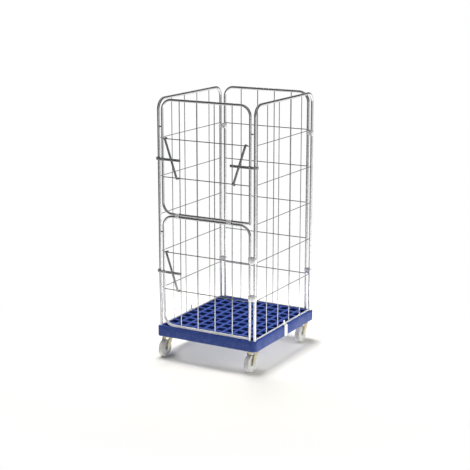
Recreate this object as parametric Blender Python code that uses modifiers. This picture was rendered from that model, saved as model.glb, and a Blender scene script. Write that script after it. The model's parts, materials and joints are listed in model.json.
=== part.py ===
"""Roll cage container: a plastic platform on four swivel castors, three wire walls and a two-piece front."""
import math

import bmesh
import bpy
from mathutils import Matrix, Vector

# Overall sizes, in metres
PLATFORM_WIDTH = 0.720
PLATFORM_DEPTH = 0.810
OVERALL_HEIGHT = 1.660
GAP = 0.0003

# Platform
PLATFORM_THICKNESS = 0.064
PLATFORM_CORNER = 0.025
PLATFORM_EDGE = 0.003
DECK_THICKNESS = 0.022
SKIRT_WALL = 0.012
RIM_AT_SIDES = 0.0275
RIM_AT_ENDS = 0.035
RIB_WIDTH = 0.020
CELLS_ACROSS = 10
CELLS_ALONG = 10
SOCKET_DEPTH = 0.038
SOCKET_CLEARANCE = 0.0007

# Castors
WHEEL_RADIUS = 0.054
WHEEL_WIDTH = 0.034
CASTOR_TRAIL = 0.038
CASTOR_INSET_X = 0.048
CASTOR_INSET_Y = 0.058
CASTOR_PLATE = (0.085, 0.100, 0.004)
CASTOR_ABOVE_WHEEL = 0.027
RACE_RADIUS = 0.028
RACE_HEIGHT = 0.0038
KINGPIN_RADIUS = 0.0057
AXLE_RADIUS = 0.0055
FORK_SHEET = 0.003
FORK_BOSS = 0.013
FORK_SIDE_CLEARANCE = 0.002
FORK_CROWN_DROP = 0.0115
PIN_CLEARANCE = 0.0005
PAD_MARGIN = 0.010

# Walls
SIDE_TUBE_RADIUS = 0.009
FRONT_TUBE_RADIUS = 0.008
WIRE_RADIUS = 0.0025
END_WIRE_RADIUS = 0.003
RAIL_RADIUS = 0.005
CORNER_RADIUS = 0.065
SIDE_WALL_INSET = 0.020
SIDE_POST_INSET = 0.025
END_WALL_INSET = 0.019
POST_PITCH = 0.031
RAIL_LIFT = 0.001
LEVEL_LIFT = 0.005
LEVELS = 6
WIRES_PER_WALL = 4
WIRE_STAGGER = 0.004
TUBE_SIDES = 12
WIRE_SIDES = 8
ARC_STEPS = 6

# Front: lower door and fold-down panel
DOOR_LIFT = 0.004
FOLD_GAP = 0.001
BAND = 0.002
BAND_CLEARANCE = 0.0006
HINGE_CLIP_HEIGHT = 0.036
CORNER_CLIP_HEIGHT = 0.032
CLIP_TO_WIRE = 0.0045
FOLD_CLIP_WIDTH = 0.030
FOLD_CLIP_OFFSET = 0.0196
STOP_RADIUS = 0.005
STOP_ABOVE_TOP_WIRE = 0.072
STOP_BELOW_FOLD = 0.113

# Latches
LEVER_TOP_INSET = 0.026
LEVER_LOW_INSET = 0.108
LEVER_WIDTH = 0.015
LEVER_THICKNESS = 0.0025
LEVER_HOOK_LIP = 0.003
LEVER_HOOK_CLEARANCE = 0.0021
LEVER_HOOK_BACK = 0.0075
LEVER_SWING = math.radians(18)
BAR_HEIGHT = 0.016
BAR_THICKNESS = 0.0025
BAR_STAND_OFF = 0.003
BAR_INNER_INSET = 0.134
BAR_BELOW_MIDDLE = 0.008
BAR_TAIL = 0.010
LATCH_LAYER_GAP = 0.0006
RIVET_RADIUS = 0.0025
RIVET_HEAD = 0.006
GUIDE_WIDTH = 0.012
GUIDE_THICKNESS = 0.0015
SLOT_HALF_WIDTH = 0.0036

# Side hooks
HOOK_WIDTH = 0.038
HOOK_TONGUE_WIDTH = 0.017
HOOK_TONGUE = 0.030
HOOK_DROP = 0.004
HOOK_LIP = 0.009
HOOK_CURL_WIDTH = 0.012
HOOK_CURL_TURN = 165

# Derived places
CASTOR_HEIGHT = 2 * WHEEL_RADIUS + CASTOR_ABOVE_WHEEL
PLATFORM_TOP = CASTOR_HEIGHT + PLATFORM_THICKNESS
HALF_WIDTH = PLATFORM_WIDTH / 2
HALF_DEPTH = PLATFORM_DEPTH / 2
CASTOR_X = HALF_WIDTH - CASTOR_INSET_X
CASTOR_Y = HALF_DEPTH - CASTOR_INSET_Y
FRONT_REACH = CASTOR_Y + CASTOR_TRAIL + WHEEL_RADIUS
PLATFORM_CENTRE_Y = (FRONT_REACH - HALF_DEPTH) / 2
SIDE_X = HALF_WIDTH - SIDE_WALL_INSET
SIDE_POST_Y = HALF_DEPTH - SIDE_POST_INSET
END_Y = HALF_DEPTH - END_WALL_INSET
END_POST_X = SIDE_X - POST_PITCH
RAIL_Z = PLATFORM_TOP + RAIL_LIFT + RAIL_RADIUS
TOP_Z = OVERALL_HEIGHT - SIDE_TUBE_RADIUS
FRONT_FACE_Y = END_Y + FRONT_TUBE_RADIUS
BAR_Y = -(FRONT_FACE_Y + BAR_STAND_OFF)
LEVER_Y = BAR_Y - BAR_THICKNESS / 2 - LEVER_THICKNESS / 2 - LATCH_LAYER_GAP
FRONT_WIRE_Y = -(END_Y + WIRE_STAGGER)


def level(step):
    """Height of a wire level: 0 is just above the bottom rail and LEVELS is the top tube."""
    low = RAIL_Z + LEVEL_LIFT
    return low + (TOP_Z - low) * step / LEVELS


FOLD_PITCH = 2 * FRONT_TUBE_RADIUS + FOLD_GAP
DOOR_TOP_Z = level(3) - FOLD_PITCH / 2
PANEL_BOTTOM_Z = level(3) + FOLD_PITCH / 2
DOOR_BOTTOM_Z = PLATFORM_TOP + DOOR_LIFT + FRONT_TUBE_RADIUS

for old in list(bpy.data.objects):
    bpy.data.objects.remove(old, do_unlink=True)

parts = bpy.data.collections.new("roll_cage_container")
helpers = bpy.data.collections.new("cutters")
for group in (parts, helpers):
    bpy.context.scene.collection.children.link(group)


# Scene helpers

def material(name, colour, roughness, metallic=0.0):
    made = bpy.data.materials.new(name)
    made.use_nodes = True
    shader = made.node_tree.nodes["Principled BSDF"]
    shader.inputs["Base Color"].default_value = (*colour, 1)
    shader.inputs["Roughness"].default_value = roughness
    shader.inputs["Metallic"].default_value = metallic
    return made


zinc = material("bright_zinc", (0.78, 0.79, 0.80), 0.28, 1.0)
dark_zinc = material("dark_zinc", (0.32, 0.33, 0.35), 0.42, 1.0)
yellow_zinc = material("yellow_zinc", (0.80, 0.74, 0.58), 0.35, 1.0)
blue_plastic = material("blue_plastic", (0.03, 0.08, 0.42), 0.45)
white_nylon = material("white_nylon", (0.86, 0.86, 0.84), 0.40)


def empty(name, at, parent=None):
    made = bpy.data.objects.new(name, None)
    made.location = at
    made.parent = parent
    parts.objects.link(made)
    return made


cage = empty("cage_origin", (0, PLATFORM_CENTRE_Y, 0))


def part(name, data, finish, at=(0, 0, 0), parent=None, turn=(0, 0, 0)):
    """A named sub-part, placed under the cage or under a moving assembly's empty."""
    made = bpy.data.objects.new(name, data)
    made.location = at
    made.rotation_euler = turn
    made.parent = parent or cage
    data.materials.clear()
    data.materials.append(finish)
    parts.objects.link(made)
    return made


def helper(name, data, like):
    """A cutter or a piece to be joined, in the same place as the object that uses it."""
    made = bpy.data.objects.new(name, data)
    made.parent = like.parent
    made.location = like.location
    made.rotation_euler = like.rotation_euler
    made.hide_render = True
    made.display_type = "WIRE"
    helpers.objects.link(made)
    return made


def combine(target, other, operation):
    step = target.modifiers.new(other.name, "BOOLEAN")
    step.operation = operation
    step.object = other
    step.solver = "EXACT"


def smooth(mesh):
    mesh.shade_smooth()
    mesh.set_sharp_from_angle(angle=math.radians(35))


def finished_mesh(made, name):
    """The evaluated mesh of a template, for its repeated copies; the template is then removed."""
    bpy.context.view_layer.update()
    graph = bpy.context.evaluated_depsgraph_get()
    mesh = bpy.data.meshes.new_from_object(made.evaluated_get(graph))
    mesh.name = name
    used = [step.object for step in made.modifiers if step.type == "BOOLEAN"]
    for old in [made, *used]:
        bpy.data.objects.remove(old, do_unlink=True)
    smooth(mesh)
    return mesh


# Shape helpers

def mesh_from(shape, name):
    mesh = bpy.data.meshes.new(name)
    shape.to_mesh(mesh)
    shape.free()
    return mesh


def add_box(shape, low, high):
    low, high = Vector(low), Vector(high)
    place = Matrix.Translation((low + high) / 2) @ Matrix.Diagonal((*(high - low), 1))
    return bmesh.ops.create_cube(shape, size=1, matrix=place)["verts"]


def add_rod(shape, start, end, radius, sides):
    start, end = Vector(start), Vector(end)
    turn = (end - start).to_track_quat("Z", "Y").to_matrix().to_4x4()
    place = Matrix.Translation((start + end) / 2) @ turn
    made = bmesh.ops.create_cone(
        shape, cap_ends=True, segments=sides, radius1=radius, radius2=radius,
        depth=(end - start).length, matrix=place,
    )
    return made["verts"]


def ring(centre, radius, across, sides=12):
    """Corner points of a disc's rim, facing along the unit vector across."""
    turn = Vector(across).to_track_quat("Z", "Y")
    turns = [math.tau * i / sides for i in range(sides)]
    rim = [(radius * math.cos(a), radius * math.sin(a), 0) for a in turns]
    return [Vector(centre) + turn @ Vector(p) for p in rim]


def add_hull(shape, points):
    verts = [shape.verts.new(p) for p in points]
    made = bmesh.ops.convex_hull(shape, input=verts)
    spare = {item for key in ("geom_interior", "geom_unused") for item in made[key]}
    bmesh.ops.delete(shape, geom=[v for v in spare if isinstance(v, bmesh.types.BMVert)], context="VERTS")


def rods_mesh(name, rods, sides):
    shape = bmesh.new()
    for start, end, radius in rods:
        add_rod(shape, start, end, radius, sides)
    mesh = mesh_from(shape, name)
    smooth(mesh)
    return mesh


def arc(centre, radius, start, end, steps=ARC_STEPS):
    """Points (u, v) round a centre, from one angle in degrees to another."""
    angles = [math.radians(start + (end - start) * i / steps) for i in range(steps + 1)]
    return [(centre[0] + radius * math.cos(a), centre[1] + radius * math.sin(a)) for a in angles]


def stadium(first, second, radius, steps=5):
    """A closed outline (u, v) at one distance round two points."""
    along = math.degrees(math.atan2(second[1] - first[1], second[0] - first[0]))
    return (arc(second, radius, along - 90, along + 90, steps)
            + arc(first, radius, along + 90, along + 270, steps))


def tube_curve(name, points, radius):
    """A round tube along 3-D points, with filled ends."""
    curve = bpy.data.curves.new(name, "CURVE")
    curve.dimensions = "3D"
    curve.bevel_depth = radius
    curve.bevel_resolution = (TUBE_SIDES - 4) // 2
    curve.use_fill_caps = True
    line = curve.splines.new("POLY")
    line.points.add(len(points) - 1)
    for point, place in zip(line.points, points):
        point.co = (*place, 1)
    return curve


def band_mesh(name, path, across, widths, closed=False):
    """An open ribbon along a path; a Solidify modifier gives it its thickness."""
    across = Vector(across)
    widths = widths if isinstance(widths, list) else [widths] * len(path)
    shape = bmesh.new()
    first = [shape.verts.new(Vector(p) - across * w / 2) for p, w in zip(path, widths)]
    pairs = list(zip(first, first[1:]))
    if closed:
        pairs.append((first[-1], first[0]))
    edges = [shape.edges.new(pair) for pair in pairs]
    made = bmesh.ops.extrude_edge_only(shape, edges=edges)["geom"]
    for vert in (item for item in made if isinstance(item, bmesh.types.BMVert)):
        nearest = min(range(len(path)), key=lambda i: (first[i].co - vert.co).length)
        vert.co += across * widths[nearest]
    return mesh_from(shape, name)


def thicken(made, thickness):
    step = made.modifiers.new("thickness", "SOLIDIFY")
    step.thickness = thickness
    step.offset = 0
    step.use_even_offset = True


def turned(name, profile, steps, closed=False):
    """A turned piece: profile points (radius, height), down the outer side."""
    shape = bmesh.new()
    verts = [shape.verts.new((radius, 0, height)) for radius, height in profile]
    pairs = list(zip(verts, verts[1:]))
    if closed:
        pairs.append((verts[-1], verts[0]))
    for pair in pairs:
        shape.edges.new(pair)
    made = bpy.data.objects.new(name, mesh_from(shape, name))
    helpers.objects.link(made)
    step = made.modifiers.new("turn", "SCREW")
    step.steps = steps
    step.render_steps = steps
    step.use_merge_vertices = True
    step.merge_threshold = 0.00001
    return finished_mesh(made, name)


def headed_pin(name, radius, length, head, head_thickness, steps=12):
    """A pin along Z with a head at each end, centred on its length."""
    half = length / 2
    top = half + head_thickness
    return turned(name, [
        (0, top), (head * 0.8, top), (head, top - head_thickness * 0.3), (head, half), (radius, half),
        (radius, -half), (head, -half), (head, -top + head_thickness * 0.3), (head * 0.8, -top), (0, -top),
    ], steps)


# Platform

def platform():
    shape = bmesh.new()
    low = (-HALF_WIDTH, -HALF_DEPTH, CASTOR_HEIGHT)
    add_box(shape, low, (HALF_WIDTH, HALF_DEPTH, PLATFORM_TOP))
    upright = [e for e in shape.edges if abs(e.verts[0].co.z - e.verts[1].co.z) > GAP]
    bmesh.ops.bevel(shape, geom=upright, offset=PLATFORM_CORNER, segments=4, profile=0.5, affect="EDGES")
    top = [e for e in shape.edges if all(v.co.z > PLATFORM_TOP - GAP for v in e.verts)]
    bmesh.ops.bevel(shape, geom=top, offset=PLATFORM_EDGE, segments=1, profile=0.5, affect="EDGES")
    made = part("base_platform", mesh_from(shape, "base_platform"), blue_plastic)
    combine(made, helper("underside_across", underside(across=True), made), "DIFFERENCE")
    combine(made, helper("underside_along", underside(across=False), made), "DIFFERENCE")
    combine(made, helper("deck_cells", deck_cells(), made), "DIFFERENCE")
    combine(made, helper("post_sockets", post_sockets(), made), "DIFFERENCE")


def underside(across):
    """One arm of the cross-shaped hollow that leaves a solid pad over each castor."""
    pad_x = CASTOR_X - CASTOR_PLATE[0] / 2 - PAD_MARGIN
    pad_y = CASTOR_Y - CASTOR_PLATE[1] / 2 - PAD_MARGIN
    x, y = (HALF_WIDTH - SKIRT_WALL, pad_y) if across else (pad_x, HALF_DEPTH - SKIRT_WALL)
    shape = bmesh.new()
    add_box(shape, (-x, -y, CASTOR_HEIGHT - 0.01), (x, y, PLATFORM_TOP - DECK_THICKNESS))
    return mesh_from(shape, "underside")


def deck_cells():
    """The square openings between the ribs of the deck."""
    span_x = PLATFORM_WIDTH - 2 * RIM_AT_SIDES
    span_y = PLATFORM_DEPTH - 2 * RIM_AT_ENDS
    size_x = (span_x - (CELLS_ACROSS - 1) * RIB_WIDTH) / CELLS_ACROSS
    size_y = (span_y - (CELLS_ALONG - 1) * RIB_WIDTH) / CELLS_ALONG
    bottom = PLATFORM_TOP - DECK_THICKNESS - 0.002
    shape = bmesh.new()
    for column in range(CELLS_ACROSS):
        for row in range(CELLS_ALONG):
            x = -span_x / 2 + column * (size_x + RIB_WIDTH)
            y = -span_y / 2 + row * (size_y + RIB_WIDTH)
            add_box(shape, (x, y, bottom), (x + size_x, y + size_y, PLATFORM_TOP + 0.01))
    return mesh_from(shape, "deck_cells")


def post_sockets():
    radius = SIDE_TUBE_RADIUS + SOCKET_CLEARANCE
    places = [(sx * SIDE_X, sy * SIDE_POST_Y) for sx in (-1, 1) for sy in (-1, 1)]
    places += [(sx * END_POST_X, END_Y) for sx in (-1, 1)]
    bottom = PLATFORM_TOP - SOCKET_DEPTH
    rods = [((x, y, bottom), (x, y, PLATFORM_TOP + 0.01), radius) for x, y in places]
    return rods_mesh("post_sockets", rods, 16)


# Castors

def castor_plate_mesh():
    """Mounting plate with the upper race, bored for the kingpin."""
    wide, long, thick = CASTOR_PLATE
    top = CASTOR_HEIGHT - GAP
    shape = bmesh.new()
    add_box(shape, (-wide / 2, -long / 2, top - thick), (wide / 2, long / 2, top))
    upright = [e for e in shape.edges if abs(e.verts[0].co.z - e.verts[1].co.z) > GAP]
    bmesh.ops.bevel(shape, geom=upright, offset=0.010, segments=2, profile=0.5, affect="EDGES")
    made = bpy.data.objects.new("castor_plate", mesh_from(shape, "castor_plate"))
    helpers.objects.link(made)
    race_ends = ((0, 0, top - thick - RACE_HEIGHT), (0, 0, top - thick / 2))
    race = rods_mesh("upper_race", [(*race_ends, RACE_RADIUS)], 20)
    combine(made, helper("upper_race", race, made), "UNION")
    bore = KINGPIN_RADIUS + PIN_CLEARANCE
    hole = rods_mesh("kingpin_hole", [((0, 0, top - 0.02), (0, 0, top + 0.01), bore)], 12)
    combine(made, helper("kingpin_hole", hole, made), "DIFFERENCE")
    return finished_mesh(made, "castor_plate")


def fork_mesh():
    """Lower race, crown and two legs down to the axle, with the swivel axis at the origin."""
    crown_top = CASTOR_HEIGHT - FORK_CROWN_DROP
    inner = WHEEL_WIDTH / 2 + FORK_SIDE_CLEARANCE
    outer = inner + FORK_SHEET
    front, back = -0.026, 0.024
    shape = bmesh.new()
    add_box(shape, (-outer, front, crown_top - FORK_SHEET - 0.001), (outer, back, crown_top))
    made = bpy.data.objects.new("castor_fork", mesh_from(shape, "castor_fork"))
    helpers.objects.link(made)
    legs = bmesh.new()
    for side in (-1, 1):
        points = []
        for x in (side * inner, side * outer):
            points += [(x, y, z) for y in (front, back) for z in (crown_top - 0.006, crown_top - 0.0005)]
            points += ring((x, -CASTOR_TRAIL, WHEEL_RADIUS), FORK_BOSS, (1, 0, 0))
        add_hull(legs, points)
    combine(made, helper("fork_legs", mesh_from(legs, "fork_legs"), made), "UNION")
    race_top = CASTOR_HEIGHT - GAP - CASTOR_PLATE[2] - RACE_HEIGHT - GAP
    race = rods_mesh("lower_race", [((0, 0, crown_top - 0.002), (0, 0, race_top), RACE_RADIUS - 0.003)], 20)
    combine(made, helper("lower_race", race, made), "UNION")
    bore = KINGPIN_RADIUS + PIN_CLEARANCE
    holes = rods_mesh("fork_holes", [
        ((0, 0, crown_top - 0.02), (0, 0, race_top + 0.01), bore),
        ((-outer - 0.01, -CASTOR_TRAIL, WHEEL_RADIUS), (outer + 0.01, -CASTOR_TRAIL, WHEEL_RADIUS),
         AXLE_RADIUS + PIN_CLEARANCE),
    ], 12)
    combine(made, helper("fork_holes", holes, made), "DIFFERENCE")
    return finished_mesh(made, "castor_fork")


def wheel_mesh():
    half = WHEEL_WIDTH / 2
    bore = AXLE_RADIUS + PIN_CLEARANCE
    tread, shoulder = WHEEL_RADIUS, WHEEL_RADIUS - 0.005
    outer = [(shoulder, half), (tread, half - 0.005), (tread, 0.005 - half), (shoulder, -half)]
    below = [(0.042, -half), (0.039, 0.004 - half), (0.019, 0.004 - half), (0.017, -half)]
    above = [(radius, -height) for radius, height in reversed(below)]
    return turned("castor_wheel", outer + below + [(bore, -half), (bore, half)] + above, 20, closed=True)


def kingpin_mesh():
    """Swivel bolt: a nut under the fork's crown and a shank up through both races."""
    crown_under = CASTOR_HEIGHT - FORK_CROWN_DROP - FORK_SHEET - 0.001
    nut_top = crown_under - GAP
    top = CASTOR_HEIGHT - 2 * GAP
    profile = [(0, top), (KINGPIN_RADIUS, top), (KINGPIN_RADIUS, nut_top), (0.0105, nut_top),
               (0.0105, nut_top - 0.005), (0, nut_top - 0.005)]
    return turned("castor_kingpin", profile, 12)


def castors():
    plate, fork, wheel, kingpin = castor_plate_mesh(), fork_mesh(), wheel_mesh(), kingpin_mesh()
    fork_width = WHEEL_WIDTH + 2 * (FORK_SIDE_CLEARANCE + FORK_SHEET)
    axle = headed_pin("castor_axle", AXLE_RADIUS, fork_width + 2 * GAP, 0.0095, 0.0045)
    places = (("front_left", -1, -1), ("front_right", 1, -1), ("rear_left", -1, 1), ("rear_right", 1, 1))
    for place, x, y in places:
        at = (x * CASTOR_X, y * CASTOR_Y, 0)
        part(f"{place}_castor_plate", plate, yellow_zinc, at)
        part(f"{place}_castor_kingpin", kingpin, yellow_zinc, at)
        swivel = empty(f"{place}_swivel_axis", at, cage)
        part(f"{place}_castor_fork", fork, yellow_zinc, parent=swivel)
        hub = (0, -CASTOR_TRAIL, WHEEL_RADIUS)
        sideways = (0, math.pi / 2, 0)
        part(f"{place}_castor_axle", axle, dark_zinc, hub, swivel, sideways)
        part(f"{place}_castor_wheel", wheel, white_nylon, hub, swivel, sideways)


# Walls

def wire_grid(name, finish, uprights, crossings, parent=None, at=(0, 0, 0)):
    """Upright wires and cross wires, welded into one piece where they meet."""
    made = part(name, rods_mesh(name, uprights, WIRE_SIDES), finish, at, parent)
    across = rods_mesh(f"{name}_cross", crossings, WIRE_SIDES)
    combine(made, helper(f"{name}_cross_wires", across, made), "UNION")
    return made


def spread(half):
    """Places of the upright wires between two posts at plus and minus half."""
    return [-half + 2 * half * (i + 1) / (WIRES_PER_WALL + 1) for i in range(WIRES_PER_WALL)]


def wall(name, spot, half, wire):
    """An inverted U of tube, a bottom rail and the wires; spot(u, z, out) gives a 3-D point."""
    foot = PLATFORM_TOP - SOCKET_DEPTH + GAP
    bend = TOP_Z - CORNER_RADIUS
    outline = [(-half, foot), *arc((CORNER_RADIUS - half, bend), CORNER_RADIUS, 180, 90),
               *arc((half - CORNER_RADIUS, bend), CORNER_RADIUS, 90, 0), (half, foot)]
    frame = tube_curve(name, [spot(u, z, 0) for u, z in outline], SIDE_TUBE_RADIUS)
    part(f"{name}_frame", frame, zinc)
    reach = half - SIDE_TUBE_RADIUS - GAP
    rail = rods_mesh(f"{name}_rail", [(spot(-reach, RAIL_Z, 0), spot(reach, RAIL_Z, 0), RAIL_RADIUS)], 10)
    part(f"{name}_bottom_rail", rail, zinc)
    low, high = RAIL_Z + RAIL_RADIUS + GAP, TOP_Z - SIDE_TUBE_RADIUS - GAP
    uprights = [(spot(u, low, 0), spot(u, high, 0), wire) for u in spread(half)]
    crossings = [(spot(-reach, level(k), -WIRE_STAGGER), spot(reach, level(k), -WIRE_STAGGER), wire)
                 for k in range(1, LEVELS)]
    wire_grid(f"{name}_wires", zinc, uprights, crossings)


def walls():
    wall("right_wall", lambda u, z, out: (SIDE_X + out, u, z), SIDE_POST_Y, WIRE_RADIUS)
    wall("left_wall", lambda u, z, out: (-SIDE_X - out, u, z), SIDE_POST_Y, WIRE_RADIUS)
    wall("back_wall", lambda u, z, out: (u, END_Y + out, z), END_POST_X, END_WIRE_RADIUS)


def corner_clips():
    """Bands that tie the back wall's posts to the side walls' posts."""
    heights = {"upper": level(5) - CLIP_TO_WIRE - CORNER_CLIP_HEIGHT / 2,
               "lower": level(1) + CLIP_TO_WIRE + CORNER_CLIP_HEIGHT / 2}
    radius = SIDE_TUBE_RADIUS + BAND_CLEARANCE + BAND / 2
    for side, sign in (("left", -1), ("right", 1)):
        outline = stadium((sign * SIDE_X, SIDE_POST_Y), (sign * END_POST_X, END_Y), radius)
        for place, z in heights.items():
            path = [(x, y, z) for x, y in outline]
            name = f"{side}_{place}_corner_clip"
            mesh = band_mesh(name, path, (0, 0, 1), CORNER_CLIP_HEIGHT, closed=True)
            thicken(part(name, mesh, zinc), BAND)


def side_hooks():
    """A plate that turns on each side wall's bottom rail and holds the wall down on the platform."""
    outside = HALF_WIDTH + GAP * 2 + BAND / 2 - SIDE_X
    beside = RAIL_RADIUS + 0.0025
    bottom = CASTOR_HEIGHT - HOOK_DROP - RAIL_Z
    step_down = PLATFORM_TOP + PLATFORM_EDGE - RAIL_Z
    profile = [(beside, HOOK_TONGUE), (beside, 0.006), (beside, -0.0005), (outside, step_down),
               (outside, bottom + 0.001), (outside - 0.001, bottom), (outside - HOOK_LIP, bottom)]
    widths = [HOOK_TONGUE_WIDTH, HOOK_TONGUE_WIDTH] + [HOOK_WIDTH] * 5
    curl = arc((0, 0), RAIL_RADIUS + BAND_CLEARANCE * 2 + BAND / 2, 0, HOOK_CURL_TURN, 8)
    for side, sign in (("left", -1), ("right", 1)):
        at = (sign * SIDE_X, 0, RAIL_Z)
        name = f"{side}_side_hook"
        flat = band_mesh(name, [(sign * x, 0, z) for x, z in profile], (0, 1, 0), widths)
        made = part(name, flat, zinc, at)
        thicken(made, BAND)
        bent = band_mesh(f"{name}_curl", [(sign * x, 0, z) for x, z in curl], (0, 1, 0), HOOK_CURL_WIDTH)
        wrapped = helper(f"{name}_curl", bent, made)
        thicken(wrapped, BAND)
        combine(made, wrapped, "UNION")


# Front

def lower_door():
    hinge = Vector((SIDE_X, -SIDE_POST_Y, 0))
    axis = empty("lower_door_axis", hinge, cage)
    origin = -hinge
    front_half(axis, hinge, "lower_door", DOOR_BOTTOM_Z, PLATFORM_TOP + GAP, DOOR_TOP_Z, (1, 2))
    radius = max(SIDE_TUBE_RADIUS, FRONT_TUBE_RADIUS) + BAND_CLEARANCE + BAND / 2
    outline = stadium((SIDE_X, -SIDE_POST_Y), (END_POST_X, -END_Y), radius)
    for place, step in (("upper", 2), ("lower", 1)):
        z = level(step) + CLIP_TO_WIRE + HINGE_CLIP_HEIGHT / 2
        name = f"{place}_door_hinge_clip"
        mesh = band_mesh(name, [(x, y, z) for x, y in outline], (0, 0, 1), HINGE_CLIP_HEIGHT, closed=True)
        thicken(part(name, mesh, zinc, origin, axis), BAND)
    latch("lower_left", -1, 1, 2, axis, hinge)
    stop("lower_left_stop", -1, level(3) - STOP_BELOW_FOLD, axis, hinge)
    return axis, hinge


def front_half(axis, hinge, name, low, foot, high, levels):
    """One bent tube with three round corners, whose end butts against the right post, and its wires."""
    shift = Vector(hinge)
    half = END_POST_X
    r = CORNER_RADIUS
    outline = [(half, foot), *arc((half - r, high - r), r, 0, 90), *arc((r - half, high - r), r, 90, 180),
               *arc((r - half, low + r), r, 180, 270), (half - FRONT_TUBE_RADIUS - 2 * GAP, low)]
    points = [Vector((x, -END_Y, z)) - shift for x, z in outline]
    part(f"{name}_frame", tube_curve(name, points, FRONT_TUBE_RADIUS), zinc, parent=axis)
    bottom, top = low + FRONT_TUBE_RADIUS + GAP, high - FRONT_TUBE_RADIUS - GAP
    reach = half - FRONT_TUBE_RADIUS - GAP
    uprights = [(Vector((x, -END_Y, bottom)) - shift, Vector((x, -END_Y, top)) - shift, END_WIRE_RADIUS)
                for x in spread(half)]
    crossings = [(Vector((-reach, FRONT_WIRE_Y, level(k))) - shift,
                  Vector((reach, FRONT_WIRE_Y, level(k))) - shift, END_WIRE_RADIUS) for k in levels]
    wire_grid(f"{name}_wires", zinc, uprights, crossings, axis)


def stop(name, sign, z, axis, hinge):
    """A stud on the panel's post that closes the gap to the side post."""
    inner = END_POST_X + FRONT_TUBE_RADIUS + GAP
    outer = SIDE_X - SIDE_TUBE_RADIUS - 3 * GAP
    start = Vector((sign * inner, -END_Y, z)) - hinge
    end = Vector((sign * outer, -END_Y, z)) - hinge
    part(name, rods_mesh(name, [(start, end, STOP_RADIUS)], 12), dark_zinc, parent=axis)


def upper_panel(door_axis, door_hinge):
    """The fold-down panel, on two clips that turn on both the door's top tube and its own bottom tube."""
    clip_hinge = Vector((0, -END_Y, DOOR_TOP_Z))
    clip_axis = empty("fold_clip_axis", clip_hinge - door_hinge, door_axis)
    radius = FRONT_TUBE_RADIUS + BAND_CLEARANCE + BAND / 2
    outline = stadium((0, 0), (0, FOLD_PITCH), radius)
    inner_wire = spread(END_POST_X)[0]
    for side, x in (("left", inner_wire - FOLD_CLIP_OFFSET), ("right", -inner_wire - FOLD_CLIP_OFFSET)):
        name = f"{side}_fold_clip"
        mesh = band_mesh(name, [(x, y, z) for y, z in outline], (1, 0, 0), FOLD_CLIP_WIDTH, closed=True)
        thicken(part(name, mesh, zinc, parent=clip_axis), BAND)
    panel_hinge = Vector((0, -END_Y, PANEL_BOTTOM_Z))
    axis = empty("upper_panel_axis", panel_hinge - clip_hinge, clip_axis)
    foot = PANEL_BOTTOM_Z - FRONT_TUBE_RADIUS
    front_half(axis, panel_hinge, "upper_panel", PANEL_BOTTOM_Z, foot, TOP_Z, (4, 5))
    for side, sign in (("left", -1), ("right", 1)):
        latch(f"upper_{side}", sign, 4, 5, axis, panel_hinge)
        stop(f"upper_{side}_stop", sign, level(5) + STOP_ABOVE_TOP_WIRE, axis, panel_hinge)


# Latches

def latch(name, sign, low_level, high_level, axis, hinge):
    """Lever hung on the upper wire, lock bar hooked round the side post, rivet between them and a guide."""
    top = Vector((sign * (END_POST_X - LEVER_TOP_INSET), FRONT_WIRE_Y, level(high_level)))
    run = LEVER_LOW_INSET - LEVER_TOP_INSET
    rise = level(high_level) - level(low_level)
    lean = math.atan2(run, rise)
    bar_z = (level(low_level) + level(high_level)) / 2 - BAR_BELOW_MIDDLE
    depth = top.z - bar_z
    rivet = Vector((top.x - sign * depth * math.tan(lean), BAR_Y, bar_z))
    lever(f"{name}_latch_lever", math.hypot(run, rise), depth, lean, top - hinge, sign, axis)
    lock_bar(f"{name}_lock_bar", sign, rivet, hinge, axis)
    rivet_pin(f"{name}_latch_rivet", rivet - hinge, axis)
    guide(f"{name}_bar_guide", sign, bar_z, hinge, axis)


def lever(name, length, depth, lean, at, sign, axis):
    """A strip with a curl round the upper wire, a hook under the lower wire and a slot for the rivet."""
    front = LEVER_Y - FRONT_WIRE_Y
    middle = (front + LEVER_HOOK_BACK) / 2
    reach = (LEVER_HOOK_BACK - front) / 2
    height = END_WIRE_RADIUS + LEVER_HOOK_CLEARANCE + LEVER_WIDTH / 2 * math.sin(lean)
    over = [(middle + reach * math.cos(a), height * math.sin(a))
            for a in (math.pi * i / ARC_STEPS for i in range(ARC_STEPS + 1))]
    under = [(y, -length - z) for y, z in reversed(over)]
    path = [(LEVER_HOOK_BACK, -LEVER_HOOK_LIP), *over, *under, (LEVER_HOOK_BACK, LEVER_HOOK_LIP - length)]
    mesh = band_mesh(name, [(0, y, z) for y, z in path], (1, 0, 0), LEVER_WIDTH)
    made = part(name, mesh, dark_zinc, at, axis, (0, sign * lean, 0))
    thicken(made, LEVER_THICKNESS)
    near = depth / math.cos(lean - LEVER_SWING)
    far = depth / math.cos(lean)
    extra = SLOT_HALF_WIDTH - RIVET_RADIUS
    shape = bmesh.new()
    ends = [(0, y, -place) for place in (near - extra, far + extra) for y in (front - 0.01, front + 0.006)]
    add_hull(shape, [p for end in ends for p in ring(end, SLOT_HALF_WIDTH, (0, 1, 0))])
    combine(made, helper(f"{name}_slot", mesh_from(shape, f"{name}_slot"), made), "DIFFERENCE")


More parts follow.
